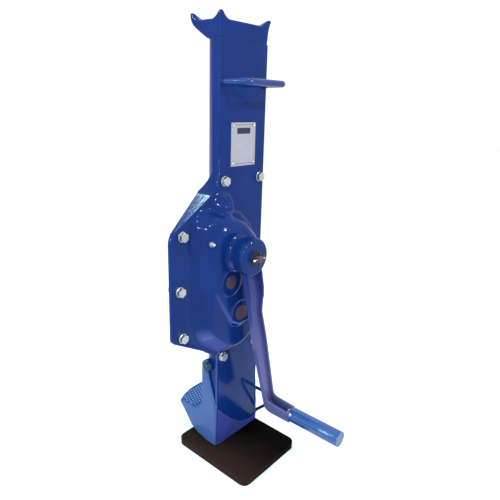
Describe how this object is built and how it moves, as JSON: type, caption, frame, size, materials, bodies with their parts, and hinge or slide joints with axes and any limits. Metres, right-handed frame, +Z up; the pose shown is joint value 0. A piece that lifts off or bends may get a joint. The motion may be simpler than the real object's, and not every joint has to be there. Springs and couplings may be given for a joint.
{
  "type": "rack jack",
  "caption": "Mechanical rack jack: a foot plate with a toothed rack, a sliding sheet-steel housing with gear train, horned head, low claw, carrying bow and brake crank.",
  "frame": {"origin": "centre of the foot plate's underside", "axes": "+Z up along the column; -Y toward the crank side; +Y toward the claw's tip; +X to the right seen from the crank side"},
  "size_m": [0.2138, 0.3095, 0.73],
  "materials": {
    "foot_black": "black stove enamel, satin",
    "gear_steel": "machined steel, greased, brown oxide",
    "zinc_steel": "bright zinc plating",
    "blue_paint": "glossy blue enamel",
    "grip_plastic": "smooth blue plastic sleeve",
    "plate_metal": "silver sheet, satin",
    "bronze": "sintered bronze",
    "friction_lining": "bonded brake lining",
    "spring_steel": "phosphated spring steel"
  },
  "bodies": {
    "foot": {"foot_plate": "foot_black", "rack": "gear_steel", "rack_stop": "gear_steel", "stop_screws": "zinc_steel"},
    "housing": {"housing_shell": "blue_paint", "front_cover": "blue_paint", "head_crown": "blue_paint", "claw": "blue_paint", "claw_skirt": "blue_paint", "carry_handle": "blue_paint", "crank_rest": "blue_paint", "bearing_plate": "blue_paint", "rating_plate": "plate_metal", "plate_rivets": "zinc_steel", "cover_bolts": "zinc_steel", "cover_washers": "zinc_steel", "cover_nuts": "zinc_steel", "rack_guide_upper": "bronze", "rack_guide_lower": "bronze", "front_bush_crank": "bronze", "front_bush_mid": "bronze", "front_bush_pinion": "bronze", "rear_bush_crank": "bronze", "rear_bush_mid": "bronze", "rear_bush_pinion": "bronze", "grease_nipple": "zinc_steel", "ratchet_wheel": "gear_steel", "pawl_pin_stud": "zinc_steel", "pawl_spring": "spring_steel"},
    "crank": {"crank_shaft": "gear_steel", "crank_circlip": "spring_steel", "rear_friction_disc": "friction_lining", "front_friction_disc": "friction_lining", "hub_key": "zinc_steel", "crank_hub": "blue_paint", "hub_washer": "zinc_steel", "castle_nut": "gear_steel", "split_pin": "zinc_steel", "crank_arm": "blue_paint", "grip_spindle": "zinc_steel"},
    "grip": {"grip_sleeve": "grip_plastic", "grip_cap": "grip_plastic", "grip_screw": "zinc_steel"},
    "intermediate": {"mid_shaft": "gear_steel", "mid_gear": "gear_steel", "mid_key": "zinc_steel", "mid_circlip": "spring_steel"},
    "pinion": {"pinion_shaft": "gear_steel", "main_gear": "gear_steel", "main_key": "zinc_steel", "pinion_circlip": "spring_steel"},
    "pawl": {"pawl": "gear_steel"}
  },
  "joints": [
    {"name": "lift", "type": "slide", "parent": "foot", "child": "housing", "axis": [0, 0, 1], "range_m": [0, 0.35]},
    {"name": "crank", "type": "hinge", "parent": "housing", "child": "crank", "pos_m": [-0.02487, -0.047, 0.3832], "axis": [0, 1, 0], "range_deg": [0, 21750.01]},
    {"name": "intermediate", "type": "hinge", "parent": "housing", "child": "intermediate", "pos_m": [-0.0415, -0.007, 0.3387], "axis": [0, 1, 0], "range_deg": [-4912.07, 0]},
    {"name": "pinion", "type": "hinge", "parent": "housing", "child": "pinion", "pos_m": [-0.0162, 0.003, 0.2791], "axis": [0, 1, 0], "range_deg": [0, 1146.92]},
    {"name": "grip_spin", "type": "hinge", "parent": "crank", "child": "grip", "pos_m": [0.04352, -0.137, 0.08699], "axis": [0, 1, 0], "continuous": true},
    {"name": "pawl", "type": "hinge", "parent": "housing", "child": "pawl", "pos_m": [-0.02487, -0.0355, 0.40499], "axis": [0, 1, 0], "range_deg": [0, 8], "stiffness_Nm_per_rad": 0.05, "springref_deg": -11.46}
  ],
  "couplings": [
    {"joint": "crank", "follows": "lift", "rad_per_m": 1084.5},
    {"joint": "intermediate", "follows": "lift", "rad_per_m": -244.9},
    {"joint": "pinion", "follows": "lift", "rad_per_m": 57.143}
  ]
}
